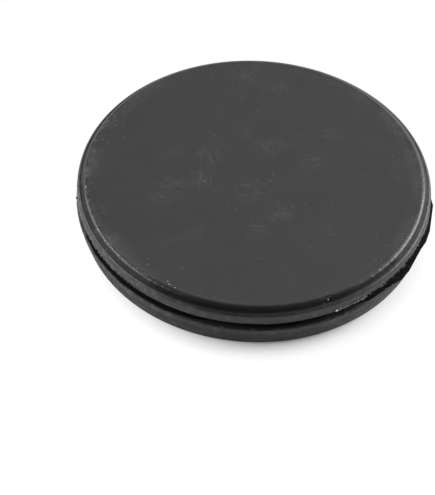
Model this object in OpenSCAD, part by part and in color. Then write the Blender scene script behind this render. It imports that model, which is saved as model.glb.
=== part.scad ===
// Closed rubber grommet: a moulded plug that snaps into a round hole in a panel.
// One piece, turned about Z. It stands on the rim of its lower flange, at z = 0.

/* [Panel] */
// Diameter of the panel hole, and of the groove's floor that sits in it
hole_d = 50; // [44:0.5:54]
// Width of the groove, which takes the thickness of the panel
groove_w = 1.6; // [1:0.1:3]
// Radius in the two corners of the groove's floor
groove_round = 0.3; // [0.1:0.05:0.45]

/* [Upper flange] */
// Diameter across the upper flange's rim
rim_d = 60; // [57.5:0.5:70]
// Height of the rim's outer face, from the groove up to the shoulder
rim_h = 1.8; // [1:0.1:4]
// Distance from the foot of the raised plate out to the rim
shoulder_w = 0.85; // [0.7:0.05:2.5]
// How far the shoulder rises from the rim in to the plate
shoulder_rise = 0.15; // [0.05:0.05:0.4]
// Radius of the round over the shoulder's outer corner
shoulder_round = 0.4; // [0.2:0.1:0.7]

/* [Raised plate] */
// Height of the plate above the valley at its foot
plate_h = 0.95; // [0.9:0.05:2]
// How far the plate's side leans in from the valley up to the top
plate_lean = 0.2; // [0.15:0.05:0.6]
// Radius of the soft round along the plate's top edge
plate_round = 0.9; // [0.3:0.1:0.9]
// Radius in the valley between the plate and the shoulder
valley_round = 0.15; // [0.1:0.05:0.3]

/* [Lower flange] */
// Diameter of the lower flange at the groove
lower_d = 60.4; // [57:0.2:70]
// Height of the lower flange
lower_h = 4.7; // [3:0.1:8]
// How far the flange leans in from the groove down to its foot
lower_lean = 1.4; // [0.2:0.1:1.6]
// Radius of the round at the foot
foot_round = 1; // [0.3:0.1:1.2]
// Radius of the round on the flange's edge beside the groove
lip_round = 0.25; // [0.1:0.05:0.4]

/* [Underside] */
// Thickness of the closed web under the plate
web_t = 2.2; // [1.5:0.1:3]
// Thickness of the wall between the groove's floor and the recess
wall_t = 3; // [1.5:0.1:5]
// How far the recess narrows from its mouth to the web
recess_draft = 0.4; // [0.1:0.1:1]
// Radius in the corner where the recess meets the web
recess_round = 1.2; // [0.3:0.1:2]
// Radius of the round on the recess's mouth
mouth_round = 0.3; // [0.1:0.1:0.6]

/* [Hidden] */
$fn = 96;
hole_r = hole_d / 2;
rim_r = rim_d / 2;
lower_r = lower_d / 2;
recess_r = hole_r - wall_t;
groove_z = lower_h;
rim_z = groove_z + groove_w;
shoulder_z = rim_z + rim_h;
valley_z = shoulder_z + shoulder_rise;
top_z = valley_z + plate_h;
web_z = top_z - web_t;
valley_r = rim_r - shoulder_w;

// Corners of the half section, from the middle of the plate round to the middle of the web.
plate_corner = [valley_r - plate_lean, top_z];
valley_corner = [valley_r, valley_z];
shoulder_corner = [rim_r, shoulder_z];
rim_corner = [rim_r, rim_z];
groove_top = [hole_r, rim_z];
groove_floor = [hole_r, groove_z];
lip_corner = [lower_r, groove_z];
foot_corner = [lower_r - lower_lean, 0];
mouth_corner = [recess_r, 0];
web_corner = [recess_r - recess_draft, web_z];

// Unit vector from one point towards another.
function towards(from, to) = (to - from) / norm(to - from);
// Angle of the section at a corner, between the points before and after it.
function opening(before, corner, after) = acos(towards(corner, before) * towards(corner, after));
// Point where a round in a corner leaves the straight edge towards its neighbour.
function touch(corner, neighbour, other, radius) =
    corner + towards(corner, neighbour) * radius / tan(opening(neighbour, corner, other) / 2);
// Centre of a round in a corner.
function centre(before, corner, after, radius) =
    let (middle = towards(corner, before) + towards(corner, after))
    corner + middle / norm(middle) * radius / sin(opening(before, corner, after) / 2);

// Sector of a circle that rounds an outer corner, between the two points where it leaves the edges.
module rounded_out(before, corner, after, radius) {
    middle = centre(before, corner, after, radius);
    intersection() {
        polygon([touch(corner, before, after, radius), corner, touch(corner, after, before, radius), middle]);
        translate(middle) circle(radius);
    }
}

// The half section with each corner crossed straight, from one touching point of its round to the other.
module straight_section() {
    polygon([
        [0, top_z],
        touch(plate_corner, [0, top_z], valley_corner, plate_round),
        touch(plate_corner, valley_corner, [0, top_z], plate_round),
        touch(valley_corner, plate_corner, shoulder_corner, valley_round),
        touch(valley_corner, shoulder_corner, plate_corner, valley_round),
        touch(shoulder_corner, valley_corner, rim_corner, shoulder_round),
        touch(shoulder_corner, rim_corner, valley_corner, shoulder_round),
        rim_corner,
        touch(groove_top, rim_corner, groove_floor, groove_round),
        touch(groove_top, groove_floor, rim_corner, groove_round),
        touch(groove_floor, groove_top, lip_corner, groove_round),
        touch(groove_floor, lip_corner, groove_top, groove_round),
        touch(lip_corner, groove_floor, foot_corner, lip_round),
        touch(lip_corner, foot_corner, groove_floor, lip_round),
        touch(foot_corner, lip_corner, mouth_corner, foot_round),
        touch(foot_corner, mouth_corner, lip_corner, foot_round),
        touch(mouth_corner, foot_corner, web_corner, mouth_round),
        touch(mouth_corner, web_corner, foot_corner, mouth_round),
        touch(web_corner, mouth_corner, [0, web_z], recess_round),
        touch(web_corner, [0, web_z], mouth_corner, recess_round),
        [0, web_z]
    ]);
}

// Rounds on the outer corners.
module outer_rounds() {
    rounded_out([0, top_z], plate_corner, valley_corner, plate_round);
    rounded_out(valley_corner, shoulder_corner, rim_corner, shoulder_round);
    rounded_out(groove_floor, lip_corner, foot_corner, lip_round);
    rounded_out(lip_corner, foot_corner, mouth_corner, foot_round);
    rounded_out(foot_corner, mouth_corner, web_corner, mouth_round);
}

// Circles that hollow the inner corners to fillets.
module inner_rounds() {
    translate(centre(plate_corner, valley_corner, shoulder_corner, valley_round)) circle(valley_round);
    translate(centre(rim_corner, groove_top, groove_floor, groove_round)) circle(groove_round);
    translate(centre(groove_top, groove_floor, lip_corner, groove_round)) circle(groove_round);
    translate(centre(mouth_corner, web_corner, [0, web_z], recess_round)) circle(recess_round);
}

module grommet() {
    color("#464646")
    rotate_extrude()
    difference() {
        union() {
            straight_section();
            outer_rounds();
        }
        inner_rounds();
    }
}

grommet();
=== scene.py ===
# %% [markdown]
# # A closed rubber grommet
# The real part is one black rubber moulding, 60 mm across and 9 mm tall. It snaps into a round hole in a
# panel and closes it, and the edge of the panel sits in the groove. This lesson dresses the measured model,
# which loads here as a frame: its looks, its moulding flaws and the dust on it.
# All lengths below are metres, so a value written as 28.9 * MM is 28.9 millimetres.

# %% Load the frame
import math

import bmesh
import bpy
from mathutils import Matrix, Vector, noise


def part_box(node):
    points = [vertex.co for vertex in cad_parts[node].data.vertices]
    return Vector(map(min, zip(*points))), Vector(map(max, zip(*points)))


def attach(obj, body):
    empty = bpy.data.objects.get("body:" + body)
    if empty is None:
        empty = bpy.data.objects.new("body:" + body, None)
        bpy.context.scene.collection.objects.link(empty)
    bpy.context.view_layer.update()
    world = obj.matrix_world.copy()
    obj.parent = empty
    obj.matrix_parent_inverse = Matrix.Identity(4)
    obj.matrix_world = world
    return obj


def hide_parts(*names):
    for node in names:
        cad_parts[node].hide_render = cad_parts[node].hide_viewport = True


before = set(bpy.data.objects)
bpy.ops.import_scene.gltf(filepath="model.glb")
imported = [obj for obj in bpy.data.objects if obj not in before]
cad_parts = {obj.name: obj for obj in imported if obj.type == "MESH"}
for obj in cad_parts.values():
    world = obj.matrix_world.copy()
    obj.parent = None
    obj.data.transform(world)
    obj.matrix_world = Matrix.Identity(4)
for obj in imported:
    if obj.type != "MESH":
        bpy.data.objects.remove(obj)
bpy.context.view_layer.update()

MM = 0.001
node_low, node_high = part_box("grommet")
rim_r = 30.0 * MM
top_z = node_high.z
print("frame: rim radius %.2f mm, height %.2f mm" % (rim_r / MM, top_z / MM))

# %% [markdown]
# ## The camera
# The photograph was taken from about 46 degrees above the table and from far away, so the near and the far
# edge have almost the same width. A long lens does that. The camera looks at the centre of the raised plate
# and then aims a little down and to the left of it, which puts the plate up and right in the picture. The
# part also leans by a few degrees in the picture, so the camera rolls by as much.

# %% Camera
PHOTO_W = 435
PHOTO_H = 495
RIM_PX = 177.3
PLATE_X_PX = 254.5
PLATE_Y_PX = 181.0
CAMERA_DISTANCE = 1.0
CAMERA_ELEVATION = math.radians(46.4)
CAMERA_ROLL = math.radians(2.7)
SENSOR = 36.0


def make_camera():
    plate_centre = Vector((0, 0, top_z))
    back = Vector((0, -math.cos(CAMERA_ELEVATION), math.sin(CAMERA_ELEVATION)))
    level_right = Vector((1, 0, 0))
    level_up = back.cross(level_right)
    right = level_right * math.cos(CAMERA_ROLL) + level_up * math.sin(CAMERA_ROLL)
    up = level_up * math.cos(CAMERA_ROLL) - level_right * math.sin(CAMERA_ROLL)
    metres_per_px = rim_r / RIM_PX
    aim = plate_centre + metres_per_px * (
        right * (PHOTO_W / 2 - PLATE_X_PX) - up * (PHOTO_H / 2 - PLATE_Y_PX)
    )
    place = plate_centre + back * CAMERA_DISTANCE
    z_axis = (place - aim).normalized()
    x_axis = up.cross(z_axis).normalized()
    y_axis = z_axis.cross(x_axis)
    data = bpy.data.cameras.new("camera")
    data.sensor_width = SENSOR
    data.lens = RIM_PX * CAMERA_DISTANCE / rim_r * SENSOR / PHOTO_H
    data.clip_start = 0.01
    data.clip_end = 50
    camera = bpy.data.objects.new("camera", data)
    turn = Matrix((x_axis, y_axis, z_axis)).transposed().to_4x4()
    camera.matrix_world = Matrix.Translation(place) @ turn
    bpy.context.scene.collection.objects.link(camera)
    bpy.context.scene.camera = camera
    return camera


camera = make_camera()
print("camera: lens %.0f mm, %.2f m away" % (camera.data.lens, CAMERA_DISTANCE))

# %% [markdown]
# ## Helpers for node trees
# A node tree is easier to read when each line makes one node, sets its plain values and wires its inputs.
# The first helper does that: a value that is a socket is linked, and any other value is written on the input.
# The others are short names for what comes again and again, such as a product or a soft step.

# %% Node helpers
def node(tree, kind, inputs=None, **settings):
    made = tree.nodes.new(kind)
    for name, value in settings.items():
        setattr(made, name, value)
    for key, value in (inputs or {}).items():
        if isinstance(value, bpy.types.NodeSocket):
            tree.links.new(value, made.inputs[key])
        else:
            made.inputs[key].default_value = value
    return made


def maths(tree, operation, first, second=0.0, third=0.0):
    kind = "ShaderNodeMath"
    return node(tree, kind, {0: first, 1: second, 2: third}, operation=operation).outputs[0]


def product(tree, first, *others):
    for other in others:
        first = maths(tree, "MULTIPLY", first, other)
    return first


def ranged(tree, value, start, end, low=0.0, high=1.0, curve="LINEAR"):
    ends = {"Value": value, "From Min": start, "From Max": end, "To Min": low, "To Max": high}
    return node(tree, "ShaderNodeMapRange", ends, interpolation_type=curve).outputs[0]


def faded(tree, value, start, end, low=0.0, high=1.0):
    return ranged(tree, value, start, end, low, high, "SMOOTHSTEP")


# %% Helpers for vectors
FLAT = (1.0, 1.0, 0.0)


def vector_maths(tree, operation, first, second=(0.0, 0.0, 0.0)):
    return node(tree, "ShaderNodeVectorMath", {0: first, 1: second}, operation=operation).outputs[0]


def measured(tree, operation, first, second=(0.0, 0.0, 0.0)):
    return node(tree, "ShaderNodeVectorMath", {0: first, 1: second}, operation=operation).outputs["Value"]


def scaled(tree, vector, factor):
    return node(tree, "ShaderNodeVectorMath", {0: vector, "Scale": factor}, operation="SCALE").outputs[0]


def along_axis(tree, place, axis):
    return node(tree, "ShaderNodeSeparateXYZ", {0: place}).outputs[axis]


def from_axis(tree, place):
    return measured(tree, "LENGTH", vector_maths(tree, "MULTIPLY", place, FLAT))


# %% Helpers for a tree's own inputs and outputs
def tree_input(tree, name, kind, value=None):
    socket = tree.interface.new_socket(name, in_out="INPUT", socket_type=kind)
    if value is not None:
        socket.default_value = value
    return socket


def tree_output(tree, name, kind):
    return tree.interface.new_socket(name, in_out="OUTPUT", socket_type=kind)


# %% [markdown]
# ## Effects for the finish
# Four effects make up the finish, and each is a group of nodes with named inputs, so that every material
# here can use it. Clouds are the uneven bloom of moulded rubber. A smudge is where a hand touched it. A ring
# picks out a band at one distance from the axis. Specks are settled dust. Each group puts out a mask only,
# from 0 to 1, and the material decides what the mask changes.

# %% Group for clouds
def new_group(name, inputs):
    group = bpy.data.node_groups.new(name, "ShaderNodeTree")
    tree_input(group, "Place", "NodeSocketVector")
    for label, value in inputs.items():
        kind = "NodeSocketVector" if isinstance(value, tuple) else "NodeSocketFloat"
        tree_input(group, label, kind, value)
    tree_output(group, "Mask", "NodeSocketFloat")
    return group, group.nodes.new("NodeGroupInput").outputs


def put_out(group, value):
    group.links.new(value, group.nodes.new("NodeGroupOutput").inputs["Mask"])
    print("group:", group.name, len(group.nodes), "nodes")
    return group


def mottling(tree, place, scale, detail=3.0):
    values = {"Vector": place, "Scale": scale, "Detail": detail, "Roughness": 0.6}
    return node(tree, "ShaderNodeTexNoise", values).outputs[0]


def make_clouds():
    group, given = new_group("bloom_clouds", {"Scale": 120.0, "From": 0.4, "To": 0.65})
    bloom = mottling(group, given["Place"], given["Scale"])
    return put_out(group, faded(group, bloom, given["From"], given["To"]))


clouds = make_clouds()


# %% Group for one smudge
OUTLINE_WAVES = 400.0
SMUDGE_END = 1.9
SMUDGE_FULL = 0.7
STROKE_GRAIN = 1500.0
STROKE_START = 0.4
STROKE_FULL = 0.68


def make_smudge():
    sizes = {"Centre": (0.0, 0.0, 0.0), "Size": 2.0 * MM, "Strokes": (0.3, 1.0, 1.0)}
    group, given = new_group("touched_smudge", sizes)
    away = measured(group, "DISTANCE", given["Place"], given["Centre"])
    share = maths(group, "DIVIDE", away, given["Size"])
    ragged = maths(group, "ADD", share, mottling(group, given["Place"], OUTLINE_WAVES))
    near = faded(group, ragged, SMUDGE_END, SMUDGE_FULL)
    stroked = vector_maths(group, "MULTIPLY", given["Place"], given["Strokes"])
    strokes = faded(group, mottling(group, stroked, STROKE_GRAIN), STROKE_START, STROKE_FULL)
    return put_out(group, product(group, near, strokes))


smudge = make_smudge()


# %% Group for a ring about the axis
def make_ring():
    group, given = new_group("ring_about_axis", {"Inner": 27.0 * MM, "Full": 28.5 * MM})
    radius = from_axis(group, given["Place"])
    return put_out(group, faded(group, radius, given["Inner"], given["Full"]))


ring = make_ring()


# %% Group for specks
def make_specks():
    group, given = new_group("settled_specks", {"Scale": 1500.0, "Size": 0.2, "Share": 0.1})
    cells = node(group, "ShaderNodeTexVoronoi", {"Vector": given["Place"], "Scale": given["Scale"]})
    dot = maths(group, "LESS_THAN", cells.outputs["Distance"], given["Size"])
    tint = node(group, "ShaderNodeSeparateColor", {0: cells.outputs["Color"]}).outputs[0]
    kept = maths(group, "LESS_THAN", tint, given["Share"])
    return put_out(group, product(group, dot, kept))


specks = make_specks()

# %% [markdown]
# ## The rubber
# Black rubber isn't black in a photograph. A very dark base gives only a little of its brightness, and the
# rest is the soft shine of a bright room. The shine grows where the surface turns away, so the rounded edges
# draw pale lines. On top of that come masks: smudges and clouds on the plate, a dusty band inside its edge,
# specks, dust and painted light on the rim's face and the lower flange, and painted fill light in the groove.
# The painted light lifts the groove's hollow, the flange and the rim's face evenly, and the rim's face more
# on the left, where a light from the front left would fall. The plate's edge is dustier on the left than on
# the right. One short list says how much each mask adds to the base.

# %% Sizes of the masks
# each smudge: x, y and size in millimetres, and how fine its strokes are along x and along y
SMUDGES = [
    (-0.7, -2.3, 3.0, 0.6, 0.9), (-8.9, 0.1, 2.6, 0.9, 0.3), (-7.9, 5.4, 2.4, 0.9, 0.25),
    (-13.2, -1.9, 3.0, 0.3, 0.9), (0.8, -11.1, 2.2, 0.4, 0.8), (4.3, -6.9, 2.6, 0.5, 0.5),
    (9.6, 5.3, 2.4, 0.3, 1.0), (12.7, 11.9, 1.8, 0.3, 1.0), (-15.5, -4.9, 2.0, 0.4, 0.9),
    (3.5, 22.0, 1.8, 0.9, 0.3), (2.0, 8.5, 2.6, 0.5, 0.7), (-3.0, 25.0, 2.2, 1.0, 0.25),
]
# clouds: how fine the noise is, and between which of its values they grow from nothing to full
HAND_CLOUDS = (140.0, 0.56, 1.0)
BLOOM_CLOUDS = (260.0, 0.35, 0.7)
EDGE_CLOUDS = (150.0, 0.35, 0.6)
FACE_CLOUDS = (800.0, 0.45, 0.7)
FLANGE_CLOUDS = (520.0, 0.45, 0.7)
CRUMB_CLOUDS = (2500.0, 0.3, 0.7)
# rings: the radii in millimetres between which they grow from nothing to full
EDGE_RING = (25.5, 28.3)
ROUND_RING = (27.6, 28.8)
SHOULDER_RING = (29.2, 29.6)
FACE_RING = (29.5, 29.9)
# GROOVE_RING marks the groove's hollow, which painted fill light lifts
GROOVE_RING = (30.15, 29.5)
# specks: how fine their cells are, the size of a speck in its cell, and the share of cells with one
FINE_SPECKS = (2600.0, 0.35, 0.16)
SPARSE_SPECKS = (700.0, 0.1, 0.08)
# from side to side: where dust, and on the rim's face a painted highlight, begins and is full, along x, and
# how much of it there is at both ends
DUSTY_SIDES = (10.0 * MM, 22.0 * MM)
EDGE_FAR_LEFT = (-20.0 * MM, -27.0 * MM, 1.0, 2.2)
# painted highlight: the rim's face is lifted on the left
FACE_SHEEN_ON_LEFT = (-4.0 * MM, -18.0 * MM, 1.0, 2.6)
# dust over painted light: how much the dust clouds add, and the even lift between them, which is painted
# light
FACE_UNEVEN = (2.6, 0.5)
FLANGE_UNEVEN = (1.5, 0.7)
# heights: a little below the top of the lower flange, and a little above the rim's underside
FLANGE_TOP = 4.6 * MM
RIM_UNDER = 6.36 * MM


# %% Masks for the plate
def use_group(nt, group, inputs):
    return node(nt, "ShaderNodeGroup", inputs, node_tree=group).outputs["Mask"]


def cloudy_at(nt, place, scale, start, end):
    return use_group(nt, clouds, {"Place": place, "Scale": scale, "From": start, "To": end})


def ring_at(nt, place, inner, full):
    return use_group(nt, ring, {"Place": place, "Inner": inner * MM, "Full": full * MM})


def specks_at(nt, place, scale, size, share):
    return use_group(nt, specks, {"Place": place, "Scale": scale, "Size": size, "Share": share})


def all_smudges(nt, place):
    total = cloudy_at(nt, place, *HAND_CLOUDS)
    for x, y, size, along_x, along_y in SMUDGES:
        values = {"Place": place, "Centre": (x * MM, y * MM, top_z), "Size": size * MM,
                  "Strokes": (along_x, along_y, 1.0)}
        total = maths(nt, "MAXIMUM", total, use_group(nt, smudge, values))
    return total


def edge_dust(nt, place):
    edge = ring_at(nt, place, *EDGE_RING)
    patchy = cloudy_at(nt, place, *EDGE_CLOUDS)
    east = along_axis(nt, place, "X")
    sides = faded(nt, maths(nt, "ABSOLUTE", east), *DUSTY_SIDES)
    far_left = faded(nt, east, *EDGE_FAR_LEFT)
    return product(nt, edge, patchy, product(nt, sides, far_left))


# %% Masks for the rim and the flange
# dust and painted highlight on the rim's face: mottled dust clouds over an even painted lift, made stronger
# on the left, where a light from the front left would fall
def face_dust_and_sheen(nt, place):
    face = ring_at(nt, place, *FACE_RING)
    speckled = maths(nt, "MULTIPLY_ADD", cloudy_at(nt, place, *FACE_CLOUDS), *FACE_UNEVEN)
    sheen_on_left = faded(nt, along_axis(nt, place, "X"), *FACE_SHEEN_ON_LEFT)
    return product(nt, face, speckled, sheen_on_left)


# painted fill light: an even lift of the groove's hollow, which the lamps leave almost black
def groove_fill_light(nt, place, height):
    inside = ring_at(nt, place, *GROOVE_RING)
    above = maths(nt, "GREATER_THAN", height, FLANGE_TOP)
    below = maths(nt, "LESS_THAN", height, RIM_UNDER)
    return product(nt, inside, above, below)


# dust clouds on the lower flange over an even painted fill light, which lifts the whole flange as a light
# from the front left would
def flange_dust_and_fill(nt, place, height):
    streaky = maths(nt, "MULTIPLY_ADD", cloudy_at(nt, place, *FLANGE_CLOUDS), *FLANGE_UNEVEN)
    return product(nt, streaky, maths(nt, "LESS_THAN", height, FLANGE_TOP))


def rubber_masks(nt, place):
    height = along_axis(nt, place, "Z")
    dusty = edge_dust(nt, place)
    return {
        "touched": all_smudges(nt, place),
        "cloudy": cloudy_at(nt, place, *BLOOM_CLOUDS),
        "dusty": dusty,
        "crumbed": product(nt, dusty, specks_at(nt, place, *FINE_SPECKS)),
        "sparse": specks_at(nt, place, *SPARSE_SPECKS),
        "groove": groove_fill_light(nt, place, height),
        "face": face_dust_and_sheen(nt, place),
        "flange": flange_dust_and_fill(nt, place, height),
        "low": faded(nt, height, RIM_UNDER, FLANGE_TOP),
        "round": ring_at(nt, place, *ROUND_RING),
        "outside": ring_at(nt, place, *SHOULDER_RING),
    }


# %% [markdown]
# The narrow valley round the plate shines less than the rest. That is painted shade: it darkens the crease
# where the plate's wall shades it. A mask doesn't dim the specular level here, so the same recipe is used
# with two lower levels, as shaded copies, and the faces in the valley take those later. Torn rubber stands
# for flash that has lost its skin, so it is rough, hardly shines and has no dust on it. It is also painted
# shade, since it keeps the trimmed fin and the dark sheets in the groove's mouth as black as the shaded
# groove round them.

# %% Rubber materials
RUBBER_BASE = 0.009
RUBBER_ROUGHNESS = 0.27
RUBBER_GRAIN = 0.2
# how much each mask adds to the tone, in shares of the base, and how much to the roughness
# the groove tone is painted fill light, and the face and flange tones are dust with painted light under it
TONES = {"touched": 1.6, "cloudy": 0.3, "dusty": 1.2, "crumbed": 3.5, "sparse": 4.0, "groove": 1.6,
         "face": 1.0, "flange": 1.5}
ROUGHER = {"low": 0.2, "dusty": 0.08, "touched": 0.03, "round": 0.07, "outside": 0.1}
GRAIN_SCALE = 3500.0
GRAIN_DEPTH = 0.02 * MM
CRUMB_RELIEF = 0.6
DIMPLE_SCALE = 650.0
DIMPLE_DEPTH = 0.12 * MM
DIMPLE_STRENGTH = 0.8


def new_material(name):
    material = bpy.data.materials.new(name)
    material.use_nodes = True
    nt = material.node_tree
    place = node(nt, "ShaderNodeTexCoord").outputs["Object"]
    return material, nt, nt.nodes["Principled BSDF"], place


def grey_of(nt, tone):
    return node(nt, "ShaderNodeCombineColor", {0: tone, 1: tone, 2: tone}).outputs[0]


def added_up(nt, base, masks, shares):
    for kind, share in shares.items():
        base = maths(nt, "MULTIPLY_ADD", masks[kind], share, base)
    return base


def make_rubber(name, gloss, roughness=RUBBER_ROUGHNESS, grain=RUBBER_GRAIN, dust=1.0):
    material, nt, shader, place = new_material(name)
    masks = rubber_masks(nt, place)
    # dust scales every added tone: the painted light in the groove, on the rim's face and on the flange as
    # well as the dust
    tones = {kind: share * dust * RUBBER_BASE for kind, share in TONES.items()}
    nt.links.new(grey_of(nt, added_up(nt, RUBBER_BASE, masks, tones)), shader.inputs["Base Color"])
    nt.links.new(added_up(nt, roughness, masks, ROUGHER), shader.inputs["Roughness"])
    fine = mottling(nt, place, GRAIN_SCALE, 2.0)
    relief = maths(nt, "MULTIPLY_ADD", masks["crumbed"], CRUMB_RELIEF, fine)
    grainy = {"Height": relief, "Strength": grain, "Distance": GRAIN_DEPTH}
    bump = node(nt, "ShaderNodeBump", grainy).outputs[0]
    dimpled = product(nt, mottling(nt, place, DIMPLE_SCALE, 2.0), masks["round"])
    dimples = {"Height": dimpled, "Strength": DIMPLE_STRENGTH, "Distance": DIMPLE_DEPTH, "Normal": bump}
    nt.links.new(node(nt, "ShaderNodeBump", dimples).outputs[0], shader.inputs["Normal"])
    shader.inputs["Specular IOR Level"].default_value = gloss
    print("rubber: %s, %d nodes" % (name, len(nt.nodes)))
    return material


rubber = make_rubber("moulded_rubber", 0.5)
# painted shade: two less shiny copies of the rubber for the shaded valley
valley_half_shade_rubber = make_rubber("valley_half_shade_rubber", 0.33)
valley_shade_rubber = make_rubber("valley_shade_rubber", 0.17)
# torn rubber, and painted shade in part: it keeps the fin and the dark sheets in the groove's mouth black
# like the shaded groove
torn_rubber_as_shade = make_rubber("torn_rubber_as_shade", 0.1, roughness=0.7, grain=0.6, dust=0.0)


# %% Dust materials
DUST_LEAST = 0.8
DUST_GAIN = 0.4
DUST_ROUGHNESS = 0.6


def make_dust(name, tone):
    material, nt, shader, place = new_material(name)
    patchy = cloudy_at(nt, place, *CRUMB_CLOUDS)
    level = maths(nt, "MULTIPLY_ADD", patchy, DUST_GAIN * tone, DUST_LEAST * tone)
    nt.links.new(grey_of(nt, level), shader.inputs["Base Color"])
    shader.inputs["Roughness"].default_value = DUST_ROUGHNESS
    return material


pale_dust = make_dust("pale_dust", 0.55)
grey_dust = make_dust("grey_dust", 0.17)
faint_dust = make_dust("faint_dust", 0.035)
print("dust:", pale_dust.name, grey_dust.name, faint_dust.name)

# %% [markdown]
# ## The shape
# A grommet is a turned form, so one half section tells everything. The section is a chain of corners, each
# with its own rounding. Geometry Nodes round the corners, cut the long straight runs into short ones, and
# turn the chain about the axis. The chain goes in as a mesh and the tree's other sizes are named inputs, so
# the same tree turns any other section.
#
# Along the lower edge of the rim a real moulding has flash: a thin ragged skin, squeezed out where the two
# halves of the mould met. The corners there carry a share of flash, and noise pushes them out unevenly. A
# second joint of the mould left a fine ridge round the lower flange.

# %% Corners of the half section
SHOULDER_WIDTH = 0.66 * MM
PLATE_LEAN = 0.6 * MM
FLANGE_LEAN = 1.4 * MM
WEB_THICK = 2.2 * MM
groove_z = 4.7 * MM
rim_z = 6.3 * MM
shoulder_z = 8.1 * MM
valley_z = 8.25 * MM
valley_r = rim_r - SHOULDER_WIDTH
plate_r = valley_r - PLATE_LEAN
groove_r = 25.0 * MM
lower_r = node_high.x
foot_r = lower_r - FLANGE_LEAN
recess_mouth_r = 22.0 * MM
recess_end_r = 21.6 * MM
web_z = top_z - WEB_THICK
FLASH_THICK = 0.12 * MM
BEAD_Z = 7.3 * MM
BEAD_OUT = 0.06 * MM
RIDGE_Z = 2.8 * MM
RIDGE_HALF = 0.15 * MM
RIDGE_OUT = 0.07 * MM
SHARP = 0.03 * MM
edge_r = rim_r - 0.4 * BEAD_OUT


def flange_r(height):
    return foot_r + (lower_r - foot_r) * height / groove_z


# each corner: radius, height, rounding, steps in the round, share of flash
corners = [
    (0.0, top_z, 0.0, 0, 0.0),
    (plate_r, top_z, 1.0 * MM, 14, 0.0),
    (valley_r, valley_z, 0.1 * MM, 4, 0.0),
    (rim_r - BEAD_OUT, shoulder_z, 0.6 * MM, 9, 0.0),
    (rim_r, BEAD_Z, 1.2 * MM, 6, 0.0),
    (edge_r, rim_z + 2 * FLASH_THICK, SHARP, 2, 0.2),
    (edge_r, rim_z + FLASH_THICK, SHARP, 2, 1.0),
    (edge_r, rim_z, SHARP, 2, 1.0),
    (edge_r - FLASH_THICK, rim_z, SHARP, 2, 0.0),
    (groove_r, rim_z, 0.3 * MM, 4, 0.0),
    (groove_r, groove_z, 0.3 * MM, 4, 0.0),
    (lower_r, groove_z, 0.25 * MM, 5, 0.5),
    (flange_r(RIDGE_Z + RIDGE_HALF), RIDGE_Z + RIDGE_HALF, SHARP, 2, 0.0),
    (flange_r(RIDGE_Z) + RIDGE_OUT, RIDGE_Z, SHARP, 2, 0.2),
    (flange_r(RIDGE_Z - RIDGE_HALF), RIDGE_Z - RIDGE_HALF, SHARP, 2, 0.0),
    (foot_r, 0.0, 1.0 * MM, 8, 0.0),
    (recess_mouth_r, 0.0, 0.3 * MM, 3, 0.0),
    (recess_end_r, web_z, 1.2 * MM, 6, 0.0),
    (0.0, web_z, 0.0, 0, 0.0),
]


def make_section(corners):
    mesh = bpy.data.meshes.new("half_section")
    places = [(corner[0], 0, corner[1]) for corner in corners]
    edges = [(i, i + 1) for i in range(len(corners) - 1)]
    mesh.from_pydata(places, edges, [])
    for name, kind, column in (("rounding", "FLOAT", 2), ("steps", "INT", 3), ("flash", "FLOAT", 4)):
        attribute = mesh.attributes.new(name, kind, "POINT")
        attribute.data.foreach_set("value", [corner[column] for corner in corners])
    section = bpy.data.objects.new("grommet_moulding", mesh)
    bpy.context.scene.collection.objects.link(section)
    return section


moulding = make_section(corners)
print("section: %d corners" % len(corners))

# %% [markdown]
# ## Turning the section
# A grid has one row for each step round the axis and one column for each point of the section. Each grid
# point looks up its place in the section and turns it by its own angle. The last row lies on the first, and
# the points on the axis lie on each other, so a merge closes the seam and both poles. After that, noise
# pushes the flash out and makes the plate a little wavy, and the faces in the valley take duller rubbers,
# which paint the valley's shade.

# %% Rounding the section
AROUND = 770
LONGEST_RUN = 1.6 * MM
MERGE = 0.002 * MM


def named_value(tree, name, kind):
    return node(tree, "GeometryNodeInputNamedAttribute", {"Name": name}, data_type=kind).outputs[0]


def position(tree):
    return node(tree, "GeometryNodeInputPosition").outputs[0]


def rounded_section(tree, geometry, longest):
    curve = node(tree, "GeometryNodeMeshToCurve", {"Mesh": geometry}).outputs[0]
    radius = named_value(tree, "rounding", "FLOAT")
    steps = named_value(tree, "steps", "INT")
    fillet = node(tree, "GeometryNodeFilletCurve", {"Curve": curve}, mode="POLY")
    tree.links.new(radius, fillet.inputs["Radius"])
    tree.links.new(steps, fillet.inputs["Count"])
    fillet.inputs["Limit Radius"].default_value = True
    along = node(tree, "GeometryNodeSplineParameter").outputs["Length"]
    index = node(tree, "GeometryNodeInputIndex").outputs[0]
    following = maths(tree, "ADD", index, 1.0)
    after = node(tree, "GeometryNodeFieldAtIndex", {"Index": following, "Value": along}).outputs[0]
    run = maths(tree, "SUBTRACT", after, along)
    cuts = maths(tree, "FLOOR", maths(tree, "DIVIDE", maths(tree, "MAXIMUM", run, 0.0), longest))
    return node(tree, "GeometryNodeSubdivideCurve", {"Curve": fillet.outputs[0], "Cuts": cuts}).outputs[0]


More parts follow.
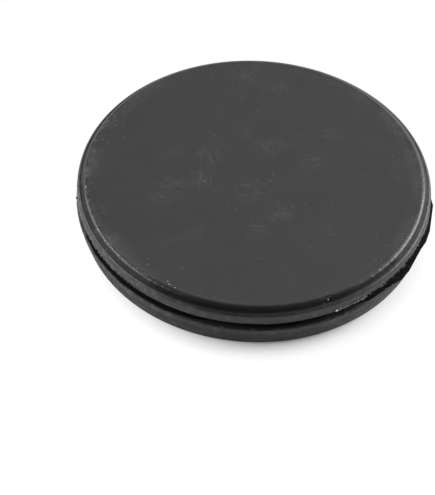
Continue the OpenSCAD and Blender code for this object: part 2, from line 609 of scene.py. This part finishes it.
# %% Turning it about the axis
def turned(tree, section, around):
    size = node(tree, "GeometryNodeAttributeDomainSize", {"Geometry": section}, component="CURVE")
    count = size.outputs["Point Count"]
    rows = maths(tree, "ADD", around, 1.0)
    grid = node(tree, "GeometryNodeMeshGrid", {"Vertices X": rows, "Vertices Y": count}).outputs[0]
    index = node(tree, "GeometryNodeInputIndex").outputs[0]
    column = maths(tree, "ROUND", maths(tree, "MODULO", index, count))
    row = maths(tree, "FLOOR", maths(tree, "DIVIDE", maths(tree, "ADD", index, 0.5), count))
    angle = product(tree, maths(tree, "DIVIDE", row, around), 2 * math.pi)
    look_up = {"Geometry": section, "Value": position(tree), "Index": column}
    point = node(tree, "GeometryNodeSampleIndex", look_up, data_type="FLOAT_VECTOR")
    look_up["Value"] = named_value(tree, "flash", "FLOAT")
    share = node(tree, "GeometryNodeSampleIndex", look_up, data_type="FLOAT")
    xyz = node(tree, "ShaderNodeSeparateXYZ", {0: point.outputs[0]})
    x = product(tree, xyz.outputs[0], maths(tree, "COSINE", angle))
    y = product(tree, xyz.outputs[0], maths(tree, "SINE", angle))
    new_place = node(tree, "ShaderNodeCombineXYZ", {0: x, 1: y, 2: xyz.outputs[2]}).outputs[0]
    keep = {"Geometry": grid, "Name": "flash", "Value": share.outputs[0]}
    kept = node(tree, "GeometryNodeStoreNamedAttribute", keep, data_type="FLOAT").outputs[0]
    return node(tree, "GeometryNodeSetPosition", {"Geometry": kept, "Position": new_place}).outputs[0]


# %% Ragged flash and a little waviness
FLASH_PATCHES = 90.0
# the noise between these first two values gives these last two shares of flash
PATCH_SPAN = (0.42, 0.6, 0.3, 1.0)
RAGGED_MIDDLE = 0.4
RAGGED_GAIN = 5.0
WAVES = 70.0


def pushed(tree, geometry, outward_by, up_by):
    outward = vector_maths(tree, "NORMALIZE", vector_maths(tree, "MULTIPLY", position(tree), FLAT))
    lift = node(tree, "ShaderNodeCombineXYZ", {2: up_by}).outputs[0]
    move = vector_maths(tree, "ADD", scaled(tree, outward, outward_by), lift)
    return node(tree, "GeometryNodeSetPosition", {"Geometry": geometry, "Offset": move}).outputs[0]


def flashed(tree, form, reach, droop, grain):
    place = position(tree)
    patches = ranged(tree, mottling(tree, place, FLASH_PATCHES, 1.0), *PATCH_SPAN)
    share = product(tree, named_value(tree, "flash", "FLOAT"), patches)
    ragged = maths(tree, "SUBTRACT", mottling(tree, place, grain), RAGGED_MIDDLE)
    raised = product(tree, ragged, RAGGED_GAIN)
    push = product(tree, raised, share, reach)
    hang = product(tree, maths(tree, "ABSOLUTE", raised), share, droop)
    return pushed(tree, form, push, product(tree, hang, -1.0))


def wavy(tree, form, waviness):
    place = position(tree)
    swell = maths(tree, "SUBTRACT", mottling(tree, place, WAVES, 1.0), 0.5)
    above = maths(tree, "GREATER_THAN", along_axis(tree, place, "Z"), web_z + MM)
    return pushed(tree, form, 0.0, product(tree, swell, waviness, above))


# %% Duller rubber in the valley, as painted shade
# each band: its inner and outer radius, and the input of the tree that gives its rubber
VALLEY_BANDS = ((28.9 * MM, 29.66 * MM, "Valley half shade rubber"), (29.04 * MM, 29.52 * MM, "Valley shade rubber"))


def dressed_between(tree, form, inner, outer, material):
    place = position(tree)
    radius = from_axis(tree, place)
    outside = maths(tree, "GREATER_THAN", radius, inner)
    inside = maths(tree, "LESS_THAN", radius, outer)
    high = maths(tree, "GREATER_THAN", along_axis(tree, place, "Z"), RIM_UNDER)
    chosen = product(tree, outside, inside, high)
    dressed = {"Geometry": form, "Selection": chosen, "Material": material}
    return node(tree, "GeometryNodeSetMaterial", dressed).outputs[0]


# %% The whole tree
TREE_SIZES = {"Longest run": LONGEST_RUN, "Flash reach": 0.1 * MM, "Flash droop": 0.03 * MM,
              "Flash grain": 1400.0, "Waviness": 0.05 * MM}


def make_turning_tree():
    tree = bpy.data.node_groups.new("turned_moulding", "GeometryNodeTree")
    tree_input(tree, "Geometry", "NodeSocketGeometry")
    tree_output(tree, "Geometry", "NodeSocketGeometry")
    tree_input(tree, "Around", "NodeSocketInt", AROUND)
    for name, size in TREE_SIZES.items():
        tree_input(tree, name, "NodeSocketFloat", size)
    for name in ("Rubber", "Valley half shade rubber", "Valley shade rubber"):
        tree_input(tree, name, "NodeSocketMaterial")
    given = tree.nodes.new("NodeGroupInput").outputs
    section = rounded_section(tree, given["Geometry"], given["Longest run"])
    form = turned(tree, section, given["Around"])
    form = node(tree, "GeometryNodeMergeByDistance", {"Geometry": form, "Distance": MERGE}).outputs[0]
    form = flashed(tree, form, given["Flash reach"], given["Flash droop"], given["Flash grain"])
    form = wavy(tree, form, given["Waviness"])
    form = node(tree, "GeometryNodeSetShadeSmooth", {"Geometry": form}).outputs[0]
    form = node(tree, "GeometryNodeRealizeInstances", {"Geometry": form}).outputs[0]
    form = node(tree, "GeometryNodeSetMaterial", {"Geometry": form, "Material": given["Rubber"]}).outputs[0]
    for inner, outer, name in VALLEY_BANDS:
        form = dressed_between(tree, form, inner, outer, given[name])
    tree.links.new(form, tree.nodes.new("NodeGroupOutput").inputs[0])
    return tree


turning_tree = make_turning_tree()
print("turning tree: %d nodes" % len(turning_tree.nodes))

# %% [markdown]
# ## Making the moulding
# The modifier's inputs are set by their identifiers, and then the evaluated result becomes a plain mesh. Its
# faces are turned outwards when its volume comes out negative, and its volume and open edges are printed.

# %% Turn the section into a mesh
def apply_tree(piece, tree, values):
    modifier = piece.modifiers.new("made_by_tree", "NODES")
    modifier.node_group = tree
    for item in tree.interface.items_tree:
        if item.item_type == "SOCKET" and item.in_out == "INPUT" and item.name in values:
            modifier[item.identifier] = values[item.name]
    bpy.context.view_layer.update()
    evaluated = piece.evaluated_get(bpy.context.evaluated_depsgraph_get())
    mesh = bpy.data.meshes.new_from_object(evaluated)
    piece.modifiers.remove(modifier)
    piece.data = mesh
    return mesh


def face_outwards(mesh):
    work = bmesh.new()
    work.from_mesh(mesh)
    if work.calc_volume(signed=True) < 0:
        bmesh.ops.reverse_faces(work, faces=work.faces)
    volume = work.calc_volume(signed=True)
    open_edges = sum(1 for edge in work.edges if not edge.is_manifold)
    work.to_mesh(mesh)
    work.free()
    found = (mesh.name, len(mesh.polygons), volume / MM ** 3, open_edges)
    print("%s: %d faces, %.2f mm3, %d open edges" % found)


rubbers = {"Rubber": rubber, "Valley half shade rubber": valley_half_shade_rubber, "Valley shade rubber": valley_shade_rubber}
mesh = apply_tree(moulding, turning_tree, rubbers)
face_outwards(mesh)

# %% [markdown]
# ## Flaws pressed into the moulding
# A moulding has small flaws at places of its own: here a pit in the valley at the front right, and a swelling
# on the lip of the lower flange below it. Each is a soft push of the points near one place. The push fades
# with the distance, which counts less along the rim than across it, so that the flaw is drawn out.

# %% Pit and swelling
# each flaw: azimuth in degrees, and then in millimetres its radius and height, its reach along and across
# the rim, and its push outwards and upwards
FLAWS = {
    "pit": (296.8, 29.0, 8.6, 1.6, 0.8, -0.25, -0.12),
    "swelling": (302.3, 30.15, 4.65, 0.6, 0.5, 0.12, 0.3),
}


def on_ring(azimuth, radius, height):
    turn = math.radians(azimuth)
    return Vector((radius * math.cos(turn), radius * math.sin(turn), height))


def press(mesh, centre, along, across, outward_by, up_by):
    outward = Vector((centre.x, centre.y, 0)).normalized()
    side = Vector((-outward.y, outward.x, 0))
    push = outward * outward_by + Vector((0, 0, up_by))
    moved = 0
    for point in mesh.vertices:
        gap = point.co - centre
        if gap.length < max(along, across):
            sideways = gap.dot(side)
            other = (gap - side * sideways).length
            share = 1 - (sideways / along) ** 2 - (other / across) ** 2
            if share > 0:
                point.co += push * share * share
                moved += 1
    return moved


for name, (azimuth, radius, height, *sizes) in FLAWS.items():
    centre = on_ring(azimuth, radius * MM, height * MM)
    moved = press(mesh, centre, *[size * MM for size in sizes])
    print("%s: %d points pressed" % (name, moved))

# %% [markdown]
# ## The trimmed fin and the painted shade in the groove
# On the right, more flash was squeezed out at the lip of the lower flange, and somebody trimmed it with a
# few straight cuts. What is left is a thin fin with a cornered outline. Along most of its length its root
# reaches deep into the groove and covers the lip's top, and beyond the fin's ends the plate goes on inside
# the
# lip: that part is painted shade, a dark sheet that keeps the groove's band black. On the left, a dark strip
# in the mouth of the groove is painted shade as well. Both are thin plates along the lip, so one function
# makes them from a list of corners. A corner is an angle about the axis, how far it stands out from the lip,
# and how deep its root goes into the groove, in millimetres.

# %% Fin and dark strip of painted shade
# the deep roots, and the rows that stand in from the lip, make a dark sheet over the lip's top: painted shade
# of the groove
FIN = [
    (6.0, -0.1, 0.3), (1.0, 0.38, 0.3), (350.0, 0.38, 0.3), (345.0, 0.36, 0.4), (341.0, 0.08, 0.6),
    (334.5, 0.18, 2.6), (331.0, 0.38, 3.0), (326.6, 0.42, 3.0), (323.2, -0.02, 3.0), (313.0, -0.3, 3.0),
    (304.0, -1.2, 3.0),
]
# painted shade: a dark strip in the mouth of the groove on the left, which widens its black band
GROOVE_SHADE_LEFT = [
    (196.0, -1.2, 3.0), (201.0, -0.35, 3.0), (209.0, -0.2, 3.0), (216.0, -0.34, 3.0), (224.0, -0.2, 3.0),
    (233.0, -0.3, 3.0), (242.0, -0.26, 3.0), (252.0, -0.6, 3.0), (262.0, -1.6, 3.0),
]
FIN_TOP = groove_z + 0.12 * MM
FIN_THICK = 0.26 * MM
FIN_DROOP = 0.25


def new_piece(name, mesh, material):
    mesh.materials.append(material)
    piece = bpy.data.objects.new(name, mesh)
    bpy.context.scene.collection.objects.link(piece)
    return piece


def fin_row(work, azimuth, out, root):
    inner = lower_r - root * MM
    outer = lower_r + out * MM
    edge_z = FIN_TOP - FIN_DROOP * max(out, 0) * MM
    row = [(inner, FIN_TOP), (outer, edge_z), (outer, edge_z - FIN_THICK / 2), (inner, FIN_TOP - FIN_THICK)]
    return [work.verts.new(on_ring(azimuth, radius, height)) for radius, height in row]


def make_fin(name, corners):
    work = bmesh.new()
    rows = [fin_row(work, *corner) for corner in corners]
    for first, second in zip(rows, rows[1:]):
        for i in range(4):
            j = (i + 1) % 4
            work.faces.new((first[i], first[j], second[j], second[i]))
    work.faces.new(rows[0])
    work.faces.new(rows[-1])
    bmesh.ops.recalc_face_normals(work, faces=work.faces)
    mesh = bpy.data.meshes.new(name)
    work.to_mesh(mesh)
    work.free()
    return new_piece(name, mesh, torn_rubber_as_shade)


fin = make_fin("flash_fin", FIN)
face_outwards(fin.data)
groove_shade_left = make_fin("groove_shade_strip_left", GROOVE_SHADE_LEFT)
face_outwards(groove_shade_left.data)

# %% [markdown]
# ## Crumbs and dust along rings
# Small crumbs of torn rubber hang like teeth on the lower edge of the rim, and some lie in the pit. Dust has
# gathered along the plate's edge, on the torn flash and at the mouth of the groove, and a little lies on the
# plate and on the flange's face. The pale beads on the plate's edge are painted highlight in part: on the
# right they paint the glints of its brightest highlight, and on the left they are dust that also carries
# those glints. All of them lie along arcs about the axis, so one tree makes them: it scatters points along an
# arc, with a fixed seed, and puts a small turned, squashed and dented ball on each.

# %% Random values in a tree
def random_number(tree, low, high, seed):
    made = node(tree, "FunctionNodeRandomValue", {2: low, 3: high, "Seed": seed}, data_type="FLOAT")
    return made.outputs[1]


def random_vector(tree, low, high, seed):
    made = node(tree, "FunctionNodeRandomValue", {0: low, 1: high, "Seed": seed}, data_type="FLOAT_VECTOR")
    return made.outputs[0]


def spread_about(tree, middle, reach, seed):
    low = maths(tree, "SUBTRACT", middle, reach)
    high = maths(tree, "ADD", middle, reach)
    return random_number(tree, low, high, seed)


# %% Tree for crumbs
DENT_SCALE = 1.7
DENT_GAIN = 1.2
DENT_BASE = 0.4
NO_TURN = (0.0, 0.0, 0.0)
WHOLE_TURN = (6.28, 6.28, 6.28)
THINNEST = (0.25, 0.25, 0.2)
THICKEST = (1.2, 0.9, 0.6)


def dented_ball(tree):
    ball = node(tree, "GeometryNodeMeshIcoSphere", {"Radius": 1.0, "Subdivisions": 1}).outputs[0]
    place = position(tree)
    size = maths(tree, "MULTIPLY_ADD", mottling(tree, place, DENT_SCALE, 0.0), DENT_GAIN, DENT_BASE)
    dented = {"Geometry": ball, "Position": scaled(tree, place, size)}
    return node(tree, "GeometryNodeSetPosition", dented).outputs[0]


def arc_places(tree, given, seeds):
    angle = random_number(tree, given["Start"], given["End"], seeds[0])
    radius = spread_about(tree, given["Radius"], given["Spread"], seeds[1])
    height = spread_about(tree, given["Height"], given["Rise"], seeds[2])
    x = product(tree, radius, maths(tree, "COSINE", angle))
    y = product(tree, radius, maths(tree, "SINE", angle))
    return node(tree, "ShaderNodeCombineXYZ", {0: x, 1: y, 2: height}).outputs[0]


def make_crumb_tree():
    tree = bpy.data.node_groups.new("crumbs_along_arc", "GeometryNodeTree")
    tree_input(tree, "Geometry", "NodeSocketGeometry")
    tree_output(tree, "Geometry", "NodeSocketGeometry")
    tree_input(tree, "Count", "NodeSocketInt", 40)
    tree_input(tree, "Seed", "NodeSocketInt", 1)
    for name in ("Start", "End", "Radius", "Height", "Spread", "Rise", "Size"):
        tree_input(tree, name, "NodeSocketFloat", 0.0)
    tree_input(tree, "Material", "NodeSocketMaterial")
    given = tree.nodes.new("NodeGroupInput").outputs
    seeds = [maths(tree, "ADD", given["Seed"], float(step)) for step in range(5)]
    spots = {"Count": given["Count"], "Position": arc_places(tree, given, seeds)}
    points = node(tree, "GeometryNodePoints", spots).outputs[0]
    turn = random_vector(tree, NO_TURN, WHOLE_TURN, seeds[3])
    scale = scaled(tree, random_vector(tree, THINNEST, THICKEST, seeds[4]), given["Size"])
    placed = {"Points": points, "Instance": dented_ball(tree), "Rotation": turn, "Scale": scale}
    crumbs = node(tree, "GeometryNodeInstanceOnPoints", placed).outputs[0]
    crumbs = node(tree, "GeometryNodeRealizeInstances", {"Geometry": crumbs}).outputs[0]
    dressed = {"Geometry": crumbs, "Material": given["Material"]}
    crumbs = node(tree, "GeometryNodeSetMaterial", dressed).outputs[0]
    tree.links.new(crumbs, tree.nodes.new("NodeGroupOutput").inputs[0])
    return tree


crumb_tree = make_crumb_tree()
print("crumb tree: %d nodes" % len(crumb_tree.nodes))


# %% Crumbs and dust
def make_crumbs(name, material, seed, count, arc, radius, height, spread, rise, size):
    piece = bpy.data.objects.new(name, bpy.data.meshes.new(name))
    bpy.context.scene.collection.objects.link(piece)
    values = {"Seed": seed, "Count": count, "Start": math.radians(arc[0]), "End": math.radians(arc[1]),
              "Radius": radius * MM, "Height": height * MM, "Spread": spread * MM, "Rise": rise * MM,
              "Size": size * MM, "Material": material}
    apply_tree(piece, crumb_tree, values)
    face_outwards(piece.data)
    return piece


plate_z = top_z / MM
# each group: name, material, seed, count, arc in degrees, and then in millimetres its radius, height,
# spread, rise and size
crumb_pieces = [
    make_crumbs("teeth_right", torn_rubber_as_shade, 11, 120, (311, 344), 29.98, 6.5, 0.04, 0.22, 0.3),
    make_crumbs("teeth_left", torn_rubber_as_shade, 23, 70, (197, 234), 29.98, 6.44, 0.03, 0.14, 0.22),
    make_crumbs("pit_crumbs", torn_rubber_as_shade, 27, 16, (294, 299.6), 28.97, 8.62, 0.1, 0.14, 0.17),
    make_crumbs("torn_streak", grey_dust, 29, 60, (299, 311), 30.0, 6.5, 0.03, 0.1, 0.26),
    make_crumbs("torn_flash_front", grey_dust, 31, 60, (236, 320), 29.98, 6.38, 0.03, 0.06, 0.1),
    make_crumbs("dust_below", grey_dust, 37, 40, (303, 320), 30.03, 4.1, 0.04, 0.5, 0.1),
    # dust and painted highlight: pale beads on the left crease that also carry its glints
    make_crumbs("beads_and_glints_left", pale_dust, 41, 70, (198, 230), 28.76, 8.98, 0.08, 0.03, 0.1),
    # painted highlight: pale specks where the crease's highlight is brightest on the right
    make_crumbs("crease_glints_right", pale_dust, 43, 40, (328, 346), 28.76, 8.98, 0.07, 0.03, 0.09),
    make_crumbs("dust_left", grey_dust, 53, 130, (138, 238), 27.2, plate_z - 0.01, 0.9, 0.02, 0.12),
    make_crumbs("crease_left", grey_dust, 59, 220, (150, 236), 28.42, 9.16, 0.16, 0.02, 0.13),
    make_crumbs("dust_right", grey_dust, 67, 150, (316, 438), 27.2, plate_z - 0.01, 0.9, 0.02, 0.11),
    make_crumbs("crease_right", grey_dust, 73, 60, (318, 352), 28.42, 9.16, 0.16, 0.02, 0.11),
    make_crumbs("groove_specks", grey_dust, 79, 24, (198, 338), 29.98, 4.86, 0.18, 0.05, 0.12),
    make_crumbs("dust_on_plate", grey_dust, 71, 70, (0, 360), 13.0, plate_z, 13.0, 0.02, 0.14),
]
print("crumbs: %d pieces" % len(crumb_pieces))

# %% [markdown]
# ## Single flecks
# A few flecks stand out: white ones on the rim's lower edge, a bright point in the pit, one in the valley,
# some along the plate's edge, three nibs of rubber on the left, and six fine scratches on the plate. Each is
# a small dented lump, drawn out along the rim or turned by a twist, with its own place and size.

# %% Flecks
FLECK_DENTS = 0.5
FLECK_WAVES = 1.6


def add_fleck(work, azimuth, radius, height, length, width, twist=0):
    turn = Matrix.Rotation(math.radians(azimuth + twist), 4, "Z")
    here = Matrix.Translation(on_ring(azimuth, radius * MM, height * MM))
    shape = Matrix.Diagonal((width * MM, length * MM, width * MM, 1))
    ball = bmesh.ops.create_icosphere(work, subdivisions=2, radius=1.0)
    own = Vector((azimuth, 0, 0))
    for point in ball["verts"]:
        point.co *= 1 + FLECK_DENTS * noise.noise(point.co * FLECK_WAVES + own)
        point.co = here @ turn @ shape @ point.co


def make_flecks(name, material, places):
    work = bmesh.new()
    for place in places:
        add_fleck(work, *place)
    mesh = bpy.data.meshes.new(name)
    work.to_mesh(mesh)
    work.free()
    face_outwards(mesh)
    return new_piece(name, mesh, material)


# each fleck: azimuth, radius, height, half length and half width in millimetres, and a twist if it has one
flecks = make_flecks("pale_flecks", pale_dust, [
    (299.2, 30.03, 6.44, 0.3, 0.17), (300.4, 30.03, 6.3, 0.18, 0.07), (297.0, 28.98, 8.62, 0.1, 0.1),
    (234.5, 29.16, 8.3, 0.1, 0.09), (240.4, 27.6, 9.2, 0.22, 0.04), (241.6, 28.0, 9.2, 0.25, 0.04),
    (244.0, 28.2, 9.19, 0.2, 0.04), (318.0, 30.0, 6.5, 0.14, 0.07), (186.3, 28.55, 9.1, 0.14, 0.09),
    (206.3, 28.8, 8.95, 0.13, 0.09), (213.3, 28.8, 8.95, 0.12, 0.08), (216.3, 28.8, 8.95, 0.12, 0.08),
])
scratches = make_flecks("fine_scratches", faint_dust, [
    (97.6, 24.6, 9.2, 2.6, 0.03, 78), (103.0, 25.0, 9.2, 0.9, 0.03, 60), (88.0, 20.6, 9.2, 0.8, 0.03, 70),
    (61.0, 26.4, 9.2, 0.9, 0.025, 30), (262.0, 11.2, 9.2, 1.3, 0.02, 60), (318.0, 26.6, 9.2, 0.8, 0.02, 40),
])
nibs = make_flecks("rubber_nibs", torn_rubber_as_shade, [
    (186.6, 30.05, 6.6, 0.2, 0.2), (206.2, 29.96, 6.5, 0.2, 0.16), (212.2, 29.96, 6.48, 0.2, 0.16),
])

# %% [markdown]
# ## Floor and light
# A white sheet lies under the part and runs on behind it, a hair below the foot, so that the two faces don't
# fall together. The background of the picture is pure white, with only a short soft shadow in front. So
# camera rays and reflections see the sheet as plain white, apart from an area round the foot, where the real
# shading shows through. The shading is a little warm there.

# %% Floor
SHEET_HALF = 0.25
SHEET_BACK = 1.0
SHEET_Z = -0.01 * MM
SHADOW_NEAR = 23.6 * MM
SHADOW_FAR = 28.8 * MM
# the white fades in round a point ahead of and right of the axis, so it paints over the shadow at the sides
# and the back and leaves it mostly in front: painted light on the sheet
SHADOW_FORWARD = 4.0 * MM
SHADOW_RIGHT = 1.2 * MM
MIRROR_NEAR = 29.0 * MM
MIRROR_FAR = 34.0 * MM
SHEET_TINT = (1.0, 0.965, 0.955, 1.0)


def seen_directly(nt, rays):
    return maths(nt, "MAXIMUM", rays["Is Camera Ray"], rays["Is Transmission Ray"])


def white_outside_shadow(nt, shader, place):
    away = measured(nt, "DISTANCE", place, (SHADOW_RIGHT, -SHADOW_FORWARD, 0.0))
    rays = node(nt, "ShaderNodeLightPath").outputs
    shown = product(nt, ranged(nt, away, SHADOW_NEAR, SHADOW_FAR), seen_directly(nt, rays))
    mirrored = product(nt, faded(nt, away, MIRROR_NEAR, MIRROR_FAR), rays["Is Glossy Ray"])
    white = node(nt, "ShaderNodeEmission", {"Strength": 1.0}).outputs[0]
    mix = {0: maths(nt, "MAXIMUM", shown, mirrored), 1: shader.outputs[0], 2: white}
    return node(nt, "ShaderNodeMixShader", mix).outputs[0]


def make_floor():
    mesh = bpy.data.meshes.new("floor")
    near = -SHEET_HALF
    outline = [(near, near), (SHEET_HALF, near), (SHEET_HALF, SHEET_BACK), (near, SHEET_BACK)]
    mesh.from_pydata([(x, y, SHEET_Z) for x, y in outline], [], [(0, 1, 2, 3)])
    paper, nt, shader, place = new_material("white_sheet")
    shader.inputs["Base Color"].default_value = SHEET_TINT
    shader.inputs["Roughness"].default_value = 1.0
    shader.inputs["Specular IOR Level"].default_value = 0.0
    surface = white_outside_shadow(nt, shader, place)
    nt.links.new(surface, nt.nodes["Material Output"].inputs["Surface"])
    floor = new_piece("floor", mesh, paper)
    return floor


floor = make_floor()
print("floor:", floor.name)

# %% [markdown]
# The room is bright behind the part and dark above and before it, like a room with one wide window, and it
# is dimmer on the left. The plate mirrors that window softly, and the curve along its front edge turns to the
# dark ceiling, which draws the dark band there. Two soft panels at the sides draw the pale lines along the
# plate's edge and the rim.

# %% Room and lamps
ROOM_DARK = 0.12
ROOM_BRIGHT = 1.02
ROOM_LEFT_SHARE = 0.5
ROOM_TURNS = 0.3
WINDOW = (0.0, 0.958, 0.287)
WINDOW_STARTS = 0.2
WINDOW_FULL = 0.6
RIGHT_GLOW = 11.0
LEFT_GLOW = 6.3


def make_room():
    world = bpy.data.worlds.new("room")
    world.use_nodes = True
    nt = world.node_tree
    direction = node(nt, "ShaderNodeTexCoord").outputs["Generated"]
    behind = measured(nt, "DOT_PRODUCT", direction, WINDOW)
    window = faded(nt, behind, WINDOW_STARTS, WINDOW_FULL, ROOM_DARK, ROOM_BRIGHT)
    across = along_axis(nt, direction, "X")
    side = faded(nt, across, -ROOM_TURNS, ROOM_TURNS, ROOM_LEFT_SHARE, 2.0 - ROOM_LEFT_SHARE)
    seen = seen_directly(nt, node(nt, "ShaderNodeLightPath").outputs)
    strength = ranged(nt, seen, 0.0, 1.0, product(nt, window, side), 1.0)
    nt.links.new(strength, nt.nodes["Background"].inputs["Strength"])
    nt.nodes["Background"].inputs["Color"].default_value = (1.0, 1.0, 1.0, 1.0)
    bpy.context.scene.world = world


def make_panel_lamp(name, place, width, height, glow):
    data = bpy.data.lights.new(name, "AREA")
    data.shape = "RECTANGLE"
    data.size = width
    data.size_y = height
    data.energy = glow * math.pi * width * height
    lamp = bpy.data.objects.new(name, data)
    lamp.location = place
    lamp.rotation_euler = (Vector((0, 0, 0)) - Vector(place)).to_track_quat("-Z", "Y").to_euler()
    bpy.context.scene.collection.objects.link(lamp)
    return lamp


make_room()
# each lamp: name, place, width and height in metres, and how brightly it glows
lamps = [
    make_panel_lamp("right_lamp", (0.6, 0.25, 0.3), 0.5, 0.36, RIGHT_GLOW),
    make_panel_lamp("left_lamp", (-0.62, 0.05, 0.36), 0.8, 0.36, LEFT_GLOW),
]
bpy.context.scene.view_settings.view_transform = "Standard"
print("lamps:", len(lamps))

# %% [markdown]
# ## The part's body
# The moulding and everything on it ride on the part's one body, and the moulding stands for its solid.

# %% Finish
for piece in [moulding, fin, groove_shade_left, flecks, scratches, nibs] + crumb_pieces:
    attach(piece, "root")
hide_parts("grommet")
